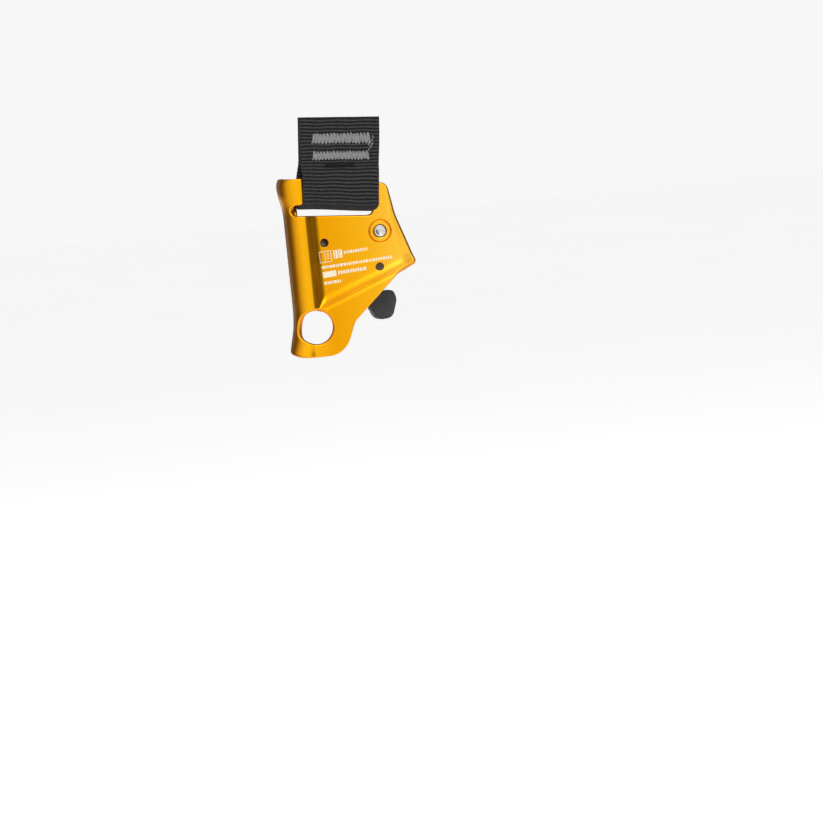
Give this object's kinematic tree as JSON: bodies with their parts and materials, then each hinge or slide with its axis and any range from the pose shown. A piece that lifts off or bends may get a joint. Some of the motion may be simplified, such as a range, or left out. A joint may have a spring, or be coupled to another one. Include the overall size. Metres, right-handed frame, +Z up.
{
  "type": "ventral rope clamp",
  "caption": "Ventral ascender: folded gold aluminium frame with rope channel, sprung toothed cam, safety catch and a sewn webbing stub in the upper slot.",
  "frame": {"origin": "on the rope's axis, in the middle of the rope channel, at the height of the cam axle", "axes": "+Z up the rope, +Y from the wearer toward the cam side, +X from the rope channel toward the cam axle"},
  "size_m": [0.0774, 0.0231, 0.1361],
  "materials": {
    "gold_anodised": "satin gold anodising with white laser marks",
    "polished_steel": "polished stainless steel",
    "cast_steel": "tumbled cast stainless steel",
    "stamped_steel": "stamped stainless sheet",
    "spring_steel": "drawn spring wire",
    "bronze": "sintered bearing bronze",
    "black_plastic": "moulded, fine grain",
    "webbing": "black polyester webbing with cross ribs",
    "grey_thread": "grey zigzag sewing thread",
    "black_thread": "black sewing thread"
  },
  "bodies": {
    "root": {"frame": "gold_anodised", "cam_axle": "polished_steel", "cam_bush": "bronze", "inner_washer": "polished_steel", "spring_cap": "polished_steel", "cam_spring": "spring_steel", "webbing_loop": "webbing"},
    "cam_body": {"cam": "cast_steel", "catch_pin": "polished_steel", "catch_stop_pin": "polished_steel", "catch_spring": "spring_steel"},
    "catch_body": {"catch_lever": "stamped_steel", "catch_grip": "black_plastic"},
    "strap_body": {"webbing_tail": "webbing", "bar_tack_upper": "grey_thread", "bar_tack_lower": "grey_thread", "bar_tack_black": "black_thread", "thread_tail": "grey_thread"}
  },
  "joints": [
    {"name": "cam_pivot", "type": "hinge", "parent": "root", "child": "cam_body", "pos_m": [0.0431, 0, 0], "axis": [0, -1, 0], "range_deg": [0, 50], "stiffness_Nm_per_rad": 0.15, "springref_deg": -28.65},
    {"name": "catch_pivot", "type": "hinge", "parent": "cam_body", "child": "catch_body", "pos_m": [0.022, 0, -0.008], "axis": [0, -1, 0], "range_deg": [0, 15], "stiffness_Nm_per_rad": 0.06, "springref_deg": -28.65},
    {"name": "strap_fold", "type": "hinge", "parent": "root", "child": "strap_body", "pos_m": [0.01826, -0.0048, 0.03592], "axis": [0.9962, 0, -0.0866], "range_deg": [-60, 60]}
  ]
}
